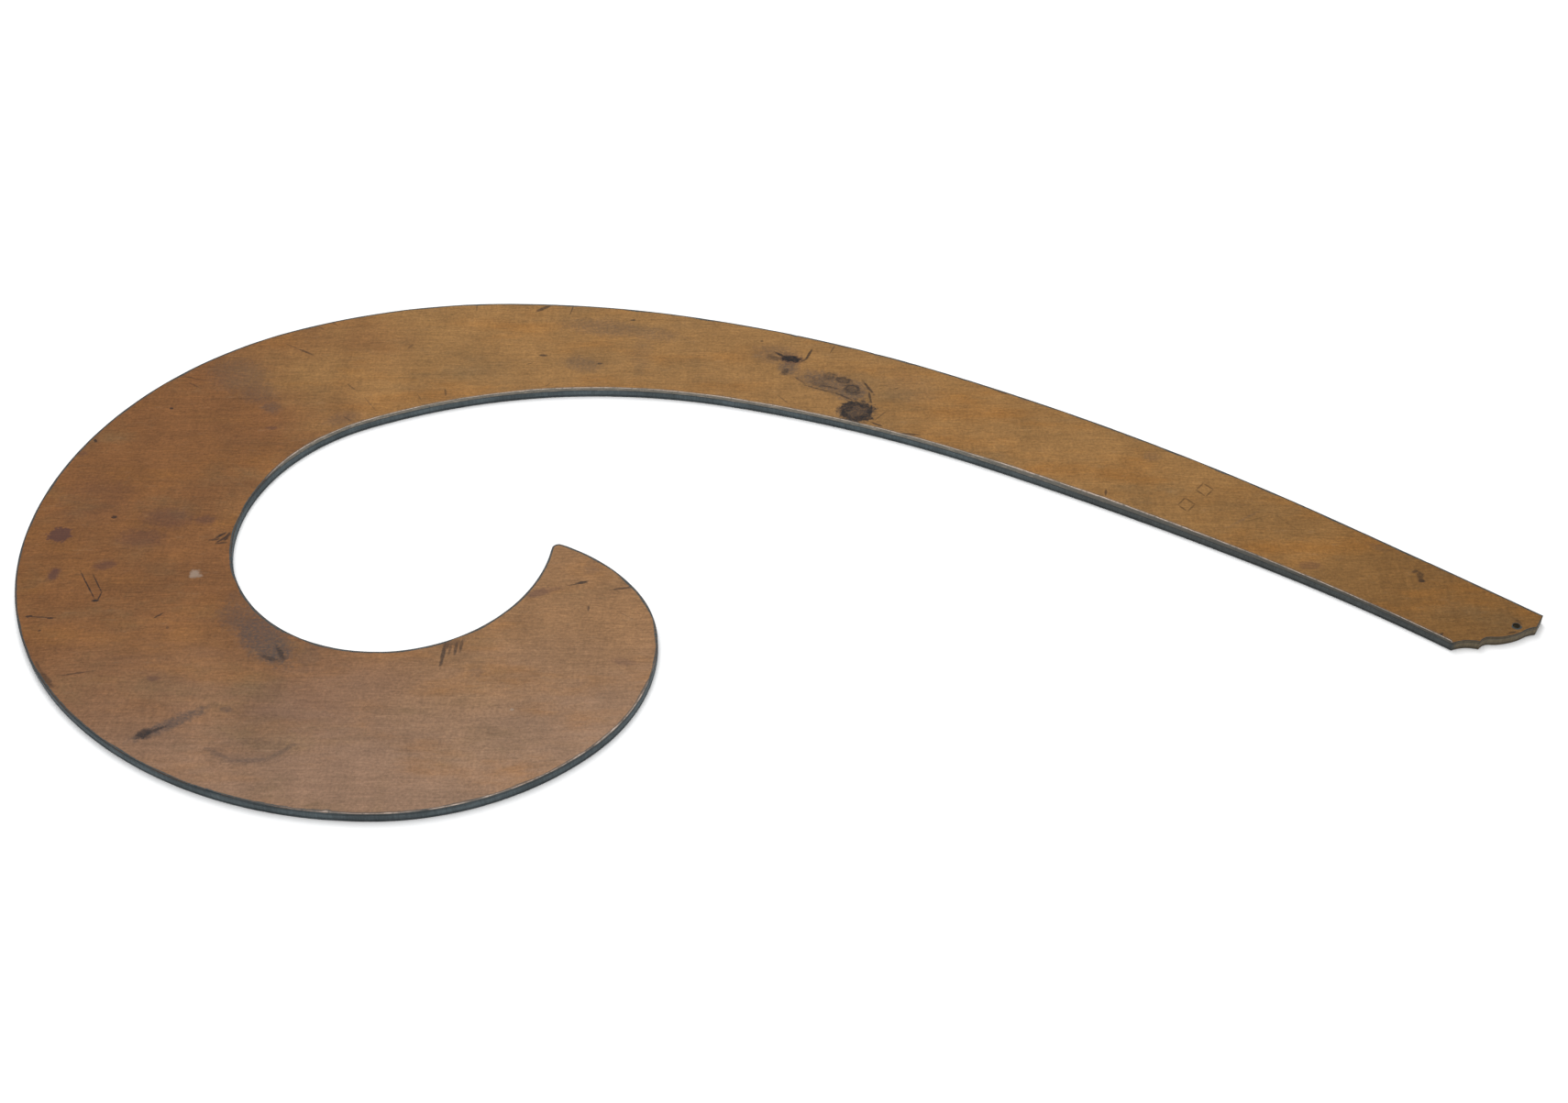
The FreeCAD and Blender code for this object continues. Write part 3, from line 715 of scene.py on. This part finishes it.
STAINS = [
    (-190.8, -2.6, 3.2, 2.9, 0, 0.3, 0.9), (-188.7, -18.0, 2.4, 1.4, 80, 0.9, 0.85),
    (-163.0, 4.0, 6.5, 3.6, -8, 1.0, 0.45), (-152.8, 3.2, 2.6, 1.8, 0, 1.0, 0.5),
    (-168.5, -4.0, 6.0, 3.4, 0, 1.0, 0.4), (-176.0, -14.6, 2.8, 1.7, 10, 0.9, 0.6),
    (-155.0, -56.0, 1.6, 0.9, 0, 0.9, 0.5), (-60.4, -25.0, 3.4, 1.3, 22, 0.9, 0.6),
    (-57.0, -23.8, 3.0, 0.8, 12, 1.0, 0.4), (-37.0, -50.2, 3.2, 1.1, -10, 1.0, 0.4),
    (143.0, -14.6, 2.8, 1.7, 0, 1.0, 0.45), (-141.2, 42.0, 1.6, 0.7, 0, 0.9, 0.5),
    (-192.5, 31.0, 1.6, 1.0, 0, 1.0, 0.4), (-120.0, -68.0, 14.0, 9.0, 0, 1.0, 0.18),
    (-185.0, 12.0, 10.0, 9.0, 0, 1.0, 0.22), (6.0, 73.5, 3.4, 2.2, -12, 0.9, 0.6),
]
IMPRESSIONS = [
    # two small lozenges punched into the arm
    (112.2, 10.9, 1.7, 0.25, 52, 0.9, 0.8), (114.6, 10.8, 1.7, 0.25, -48, 0.9, 0.8),
    (112.0, 8.2, 1.7, 0.25, -50, 0.9, 0.75), (114.4, 8.1, 1.7, 0.25, 50, 0.9, 0.7),
    (118.0, 17.0, 1.7, 0.25, 52, 0.9, 0.7), (120.4, 16.9, 1.7, 0.25, -48, 0.9, 0.75),
    (117.8, 14.3, 1.7, 0.25, -50, 0.9, 0.8), (120.2, 14.2, 1.7, 0.25, 50, 0.9, 0.8),
    (131.5, 3.8, 5.2, 0.18, 22, 0.9, 0.35), (139.6, 2.0, 4.7, 0.18, -50, 0.9, 0.3),
]
PALE_MARKS = [
    (-151.6, -17.9, 1.4, 1.4, 0, 0.9, 0.65), (-150.2, -18.6, 0.9, 0.6, 0, 0.8, 0.5),
    (-63.7, -66.6, 0.5, 0.4, 0, 0.7, 0.6),
]


def laid_marks(n, position, ragged, marks, hollow=0.0):
    """Strongest of a list of marks at each point."""
    tree = spot_group()
    total = None
    for x, y, half_length, half_width, turn, softness, strength in marks:
        mask = use(n, tree, {"Position": position, "Centre": (x * MM, y * MM, 0.0),
                             "Half Size": (half_length * MM, half_width * MM, 1.0),
                             "Turn": math.radians(turn), "Ragged": ragged, "Softness": softness,
                             "Hollow": hollow, "Strength": strength})["Mask"]
        total = mask if total is None else n.math("MAXIMUM", total, mask)
    return total


def flat_position(n):
    """Object position with its height taken out, so that a pattern runs the same at any depth."""
    source = n.add("ShaderNodeTexCoord", output="Object")
    return n.vector("MULTIPLY", source, (1.0, 1.0, 0.0))


def split(n, vector):
    node = n.tree.nodes.new("ShaderNodeSeparateXYZ")
    n.tree.links.new(vector, node.inputs[0])
    return node.outputs


def grey(n, value):
    return n.add("ShaderNodeCombineXYZ", {"X": value, "Y": value, "Z": value})


def product(n, *values):
    total = values[0]
    for value in values[1:]:
        total = n.math("MULTIPLY", total, value)
    return total


def wood_colour(n, position):
    """Colour of the waxed wood before any mark, with its fibre and the mask of its painted sheen."""
    finish = settings("finish")
    across, upward, _ = split(n, position)
    cloud = n.math("SUBTRACT", n.noise(n.stretch(position, (16.0, 26.0, 1.0)), 1.0, 4.0), 0.5)
    across = n.math("ADD", across, n.math("MULTIPLY", cloud, 0.11))
    upward = n.math("ADD", upward, n.math("MULTIPLY", cloud, 0.07))
    lean = n.math("ADD", across, n.math("MULTIPLY", upward, 0.30))
    low = n.ramp(upward, -0.020, -0.062)
    base = n.mix(n.ramp(lean, -0.138, -0.078), tuple(finish.head), tuple(finish.arm))
    base = n.mix(n.math("MULTIPLY", low, n.ramp(across, 0.030, 0.010)), base, tuple(finish.head))
    base = n.mix(product(n, n.ramp(across, -0.125, -0.060), n.ramp(upward, 0.010, -0.015),
                         n.ramp(across, 0.030, 0.010)), base, tuple(finish.scroll))
    base = n.mix(n.ramp(across, 0.085, 0.190), base, tuple(finish.tip))
    # painted sheen: the near side of the scroll is paled and its fibre softened, standing in for a reflection
    # of the light behind
    painted_sheen = product(n, n.ramp(upward, -0.028, -0.090), n.ramp(across, -0.235, -0.128),
                   n.ramp(across, 0.020, -0.020))
    base = n.mix(n.math("MULTIPLY", painted_sheen, 0.75), base, tuple(finish.painted_sheen))
    warm = n.noise(n.stretch(position, (20.0, 62.0, 1.0), (0.3, 0.1, 0.0)), 1.0, 5.0, 0.6)
    dull = n.noise(n.stretch(position, (26.0, 48.0, 1.0), (0.7, 0.4, 0.0)), 1.0, 5.0, 0.65)
    base = n.mix(n.math("MULTIPLY", n.ramp(warm, 0.46, 0.74), n.ramp(lean, -0.15, -0.09, 0.36, 0.66)),
                 base, tuple(finish.orange))
    base = n.mix(n.ramp(dull, 0.48, 0.76, 0.0, 0.62), base, tuple(finish.olive))
    streaks, fibre, pores, shimmer = use(n, grain_group(), {"Position": position})
    mottle = n.noise(position, 75.0, 5.0, 0.65)
    fleck = n.noise(position, 1300.0, 3.0, 0.7)
    cross = n.math("MULTIPLY", n.math("SUBTRACT", shimmer, 0.5), n.ramp(cloud, -0.12, 0.14, 0.12, 0.46))
    threads = n.math("MULTIPLY", n.ramp(fibre, 0.25, 0.75, -0.24, 0.23, smooth=False),
                     n.ramp(painted_sheen, 0.0, 1.0, 1.0, 0.55))
    shade = product(n, n.ramp(streaks, 0.28, 0.72, 0.88, 1.11, smooth=False),
                    n.math("ADD", 1.0, threads),
                    n.ramp(mottle, 0.30, 0.70, 0.84, 1.16, smooth=False),
                    n.ramp(fleck, 0.25, 0.75, 0.72, 1.26, smooth=False),
                    n.math("SUBTRACT", 1.0, n.math("MULTIPLY", pores, 0.13)),
                    n.math("ADD", 1.0, cross))
    return n.mix(1.0, base, grey(n, shade), "MULTIPLY"), fibre, painted_sheen


def face_finish():
    name = "waxed_pearwood_face"
    if name in bpy.data.materials:
        return bpy.data.materials[name]
    material, n, shader = new_material(name)
    position = flat_position(n)
    wood, fibre, painted_sheen = wood_colour(n, position)
    ragged = n.math("MULTIPLY", n.math("SUBTRACT", n.noise(position, 700.0, 4.0, 0.7), 0.5), 1.7)
    speckle = n.noise(n.stretch(position, (1100.0, 1500.0, 1.0)), 1.0, 3.0, 0.7)
    speckle = n.ramp(speckle, 0.36, 0.60, 0.45, 1.0)
    smudges = n.math("MULTIPLY", laid_marks(n, position, ragged, SMUDGES), speckle)
    stains = laid_marks(n, position, ragged, STAINS)
    impressions = laid_marks(n, position, ragged, IMPRESSIONS)
    wood = n.mix(n.math("MULTIPLY", smudges, 0.80), wood, (0.056, 0.045, 0.042))
    wood = n.mix(n.math("MULTIPLY", stains, 0.80), wood, (0.060, 0.026, 0.026))
    wood = n.mix(n.math("MULTIPLY", impressions, 0.8), wood, (0.050, 0.026, 0.010))
    ink = n.math("MAXIMUM", laid_marks(n, position, ragged, INK_MARKS),
                 laid_marks(n, position, ragged, RINGS, hollow=0.55))
    wood = n.mix(n.math("MULTIPLY", ink, n.ramp(speckle, 0.45, 1.0, 0.80, 0.97)), wood, (0.007, 0.007, 0.009))
    wood = n.mix(laid_marks(n, position, ragged, PALE_MARKS), wood, (0.30, 0.235, 0.185))
    rubbed = n.ramp(n.noise(n.stretch(position, (150.0, 420.0, 1.0)), 1.0, 5.0, 0.7), 0.56, 0.80, 0.0, 0.16)
    wood = n.mix(rubbed, wood, (0.36, 0.255, 0.155))
    # darker towards every edge of the face, broadest along the far edges and weaker on bare edges
    rim = n.ramp(n.add("ShaderNodeAttribute", output="Fac", attribute_name="rim"), 0.05, 0.45)
    bare = n.add("ShaderNodeAttribute", output="Fac", attribute_name="bare")
    edge_darkening = product(n, rim, n.ramp(speckle, 0.45, 1.0, 0.70, 0.98), n.ramp(bare, 0.0, 0.8, 1.0, 0.45))
    wood = n.mix(edge_darkening, wood, (0.038, 0.052, 0.056))
    gloss = n.ramp(fibre, 0.3, 0.7, 0.50, 0.42, smooth=False)
    ripple = n.math("MULTIPLY", n.noise(position, 120.0, 2.0), 0.8)
    height = n.math("ADD", n.math("MULTIPLY", fibre, 0.5), ripple)
    height = n.math("SUBTRACT", height, n.math("MULTIPLY", ink, 0.2))
    bump = n.add("ShaderNodeBump", {"Height": height, "Strength": 0.2, "Distance": 0.00012})
    connect(n, shader, base_color=wood, roughness=gloss, normal=bump)
    shader.inputs["Specular IOR Level"].default_value = 0.12
    return material


def strip_finish():
    """Worn arrises and the scraped bevel: bare wood where it was scraped or rubbed, with a painted highlight
    along their top, inked elsewhere.
    """
    name = "worn_edge_strip"
    if name in bpy.data.materials:
        return bpy.data.materials[name]
    finish = settings("finish")
    material, n, shader = new_material(name)
    edge = n.add("ShaderNodeUVMap", uv_map="edge")
    bare = n.add("ShaderNodeAttribute", output="Fac", attribute_name="bare")
    # mask of the painted highlight along the top of each strip
    polished = n.add("ShaderNodeAttribute", output="Fac", attribute_name="arris_highlight")
    across, _, _ = split(n, n.add("ShaderNodeTexCoord", output="Object"))
    handled = n.ramp(across, HANDLED_START, HANDLED_END, 0.0, 0.78)
    tool = n.noise(n.stretch(edge, (420.0, 4200.0, 1.0), turn=math.radians(24.0)), 1.0, 3.0, 0.6)
    fleck = n.noise(n.stretch(edge, (1100.0, 1900.0, 1.0)), 1.0, 3.0, 0.7)
    patch = n.noise(n.stretch(edge, (110.0, 110.0, 1.0)), 1.0, 4.0, 0.6)
    scraped = n.mix(n.ramp(tool, 0.50, 0.68), tuple(finish.scraped), (0.250, 0.212, 0.170))
    scraped = n.mix(n.ramp(fleck, 0.54, 0.70, 0.0, 0.75), scraped, (0.060, 0.062, 0.058))
    scraped = n.mix(handled, scraped, (0.052, 0.050, 0.043))
    # painted highlight along the top of the worn arris and of the scraped bevel, over bare wood
    rim = product(n, polished, n.ramp(patch, 0.34, 0.56, 0.35, 1.0), n.ramp(fleck, 0.34, 0.56, 0.45, 1.0))
    scraped = n.mix(rim, scraped, tuple(finish.worn))
    inked = n.mix(n.ramp(patch, 0.40, 0.60), tuple(finish.inked), (0.060, 0.038, 0.026))
    base = n.mix(n.math("MULTIPLY", bare, n.ramp(fleck, 0.30, 0.48, 0.6, 1.0)), inked, scraped)
    bump = n.add("ShaderNodeBump", {"Height": tool, "Strength": 0.5, "Distance": 0.00010})
    connect(n, shader, base_color=base, normal=bump)
    shader.inputs["Roughness"].default_value = 0.5
    shader.inputs["Specular IOR Level"].default_value = 0.12
    return material


def cut_finish(name, lightness):
    """Cut edge of a ply: saw and file marks up the edge, ink worked into it with a painted bluish shade on
    top, brown at the tip.
    """
    if name in bpy.data.materials:
        return bpy.data.materials[name]
    finish = settings("finish")
    material, n, shader = new_material(name)
    edge = n.add("ShaderNodeUVMap", uv_map="edge")
    across, _, _ = split(n, n.add("ShaderNodeTexCoord", output="Object"))
    patch = n.noise(n.stretch(edge, (45.0, 45.0, 1.0)), 1.0, 4.0, 0.6)
    files = n.noise(n.stretch(edge, (1900.0, 260.0, 1.0)), 1.0, 3.0, 0.65)
    lines = n.noise(n.stretch(edge, (60.0, 5200.0, 1.0)), 1.0, 2.0, 0.6)
    dark = tuple(value * 0.62 for value in finish.cut)
    base = n.mix(n.ramp(patch, 0.35, 0.65), dark, tuple(finish.cut))
    base = n.mix(n.ramp(across, HANDLED_START, HANDLED_END, 0.0, 0.75), base, (0.048, 0.050, 0.047))
    base = n.mix(n.ramp(across, MOULDING - 0.2 * MM, MOULDING + 1.6 * MM), base, tuple(finish.cut_brown))
    shade = product(n, n.ramp(files, 0.3, 0.7, 0.78, 1.20, smooth=False),
                    n.ramp(lines, 0.3, 0.7, 0.80, 1.18, smooth=False), lightness)
    base = n.mix(1.0, base, grey(n, shade), "MULTIPLY")
    bump = n.add("ShaderNodeBump", {"Height": files, "Strength": 0.35, "Distance": 0.00008})
    connect(n, shader, base_color=base, normal=bump)
    shader.inputs["Roughness"].default_value = 0.6
    shader.inputs["Specular IOR Level"].default_value = 0.15
    return material


def glue_finish():
    name = "dried_glue"
    if name in bpy.data.materials:
        return bpy.data.materials[name]
    material, n, shader = new_material(name)
    edge = n.add("ShaderNodeUVMap", uv_map="edge")
    patch = n.noise(n.stretch(edge, (300.0, 300.0, 1.0)), 1.0, 3.0)
    glue = tuple(settings("finish").glue)
    base = n.mix(n.ramp(patch, 0.4, 0.65), glue, tuple(value * 3.0 for value in glue))
    connect(n, shader, base_color=base)
    shader.inputs["Roughness"].default_value = 0.35
    shader.inputs["Specular IOR Level"].default_value = 0.25
    return material


# ---- stage ---------------------------------------------------------------------------------


def make_stage():
    stage = settings("stage")
    scene = bpy.context.scene
    bm = bmesh.new()
    bmesh.ops.create_grid(bm, x_segments=1, y_segments=1, size=stage.floor_size / 2.0)
    bmesh.ops.translate(bm, verts=bm.verts, vec=(0.0, 0.0, -0.05 * MM))
    mesh = bpy.data.meshes.new("paper_floor")
    bm.to_mesh(mesh)
    bm.free()
    floor = bpy.data.objects.new("paper_floor", mesh)
    scene.collection.objects.link(floor)
    material, _, shader = new_material("pale_floor")
    shader.inputs["Base Color"].default_value = (0.93, 0.93, 0.93, 1.0)
    shader.inputs["Roughness"].default_value = 0.8
    shader.inputs["Specular IOR Level"].default_value = 0.1
    mesh.materials.append(material)

    world = bpy.data.worlds.new("studio_white")
    world.use_nodes = True
    background = world.node_tree.nodes["Background"]
    background.inputs["Color"].default_value = (0.96, 0.98, 1.0, 1.0)
    background.inputs["Strength"].default_value = 0.34
    scene.world = world
    add_softbox("back_softbox", place=(-0.20, 0.80, 1.35), size=0.8, power=9.0)
    add_softbox("top_softbox", place=(0.0, -0.15, 1.65), size=1.8, power=22.0)

    camera = bpy.data.cameras.new("view")
    camera.sensor_width = 36.0
    camera.lens = stage.camera_lens
    camera.clip_start = 0.01
    viewer = bpy.data.objects.new("view", camera)
    viewer.location = (stage.camera_side, -stage.camera_back, stage.camera_height)
    viewer.rotation_euler = Euler((math.pi / 2.0 - stage.camera_elevation, 0.0, 0.0))
    scene.collection.objects.link(viewer)
    scene.camera = viewer
    scene.view_settings.view_transform = "Standard"
    scene.view_settings.look = "None"


def add_softbox(name, place, size, power):
    """A round soft light that faces the middle of the curve."""
    light = bpy.data.lights.new(name, "AREA")
    light.shape = "DISK"
    light.size = size
    light.energy = power
    lamp = bpy.data.objects.new(name, light)
    lamp.location = place
    lamp.rotation_euler = (-Vector(place)).to_track_quat("-Z", "Y").to_euler()
    bpy.context.scene.collection.objects.link(lamp)


# ---- operators, panel and registration -----------------------------------------------------


class TopPlyOperator(bpy.types.Operator):
    """Build the top ply with its waxed face, worn arrises and scraped bevel"""

    bl_idname = "french_curve.top_ply"
    bl_label = "Top ply"

    def execute(self, context):
        make_top_ply()
        return {"FINISHED"}


class CorePlyOperator(bpy.types.Operator):
    """Build the cross-grained core ply"""

    bl_idname = "french_curve.core_ply"
    bl_label = "Core ply"

    def execute(self, context):
        make_core_ply()
        return {"FINISHED"}


class BottomPlyOperator(bpy.types.Operator):
    """Build the bottom ply with its worn arrises"""

    bl_idname = "french_curve.bottom_ply"
    bl_label = "Bottom ply"

    def execute(self, context):
        make_bottom_ply()
        return {"FINISHED"}


class GlueFilmsOperator(bpy.types.Operator):
    """Build the two glue films between the plies"""

    bl_idname = "french_curve.glue_films"
    bl_label = "Glue films"

    def execute(self, context):
        make_glue_film("upper_glue_line", UPPER_GLUE, 1.2)
        make_glue_film("lower_glue_line", LOWER_GLUE, 1.7)
        return {"FINISHED"}


class StageOperator(bpy.types.Operator):
    """Set the pale floor, the soft studio light and the camera"""

    bl_idname = "french_curve.stage"
    bl_label = "Stage"

    def execute(self, context):
        make_stage()
        return {"FINISHED"}


OPERATORS = (TopPlyOperator, CorePlyOperator, BottomPlyOperator, GlueFilmsOperator, StageOperator)
SETTINGS = {"wear": WearSettings, "finish": FinishSettings, "stage": StageSettings}


class FrenchCurvePanel(bpy.types.Panel):
    bl_idname = "VIEW3D_PT_french_curve"
    bl_label = "French curve"
    bl_space_type = "VIEW_3D"
    bl_region_type = "UI"
    bl_category = "French curve"

    def draw(self, context):
        for operator in OPERATORS:
            self.layout.operator(operator.bl_idname)
        for name in SETTINGS:
            box = self.layout.box()
            group_ = getattr(context.scene, "french_curve_" + name)
            for key in group_.bl_rna.properties.keys():
                if key not in ("rna_type", "name"):
                    box.prop(group_, key)


def register():
    for name, kind in SETTINGS.items():
        bpy.utils.register_class(kind)
        setattr(bpy.types.Scene, "french_curve_" + name, PointerProperty(type=kind))
    for kind in (*OPERATORS, FrenchCurvePanel):
        bpy.utils.register_class(kind)


def unregister():
    for kind in reversed((*OPERATORS, FrenchCurvePanel)):
        bpy.utils.unregister_class(kind)
    for name, kind in reversed(SETTINGS.items()):
        delattr(bpy.types.Scene, "french_curve_" + name)
        bpy.utils.unregister_class(kind)


def main():
    register()
    bpy.ops.french_curve.stage()
    bpy.ops.french_curve.top_ply()
    bpy.ops.french_curve.glue_films()
    bpy.ops.french_curve.core_ply()
    bpy.ops.french_curve.bottom_ply()


if __name__ == "__main__":
    main()
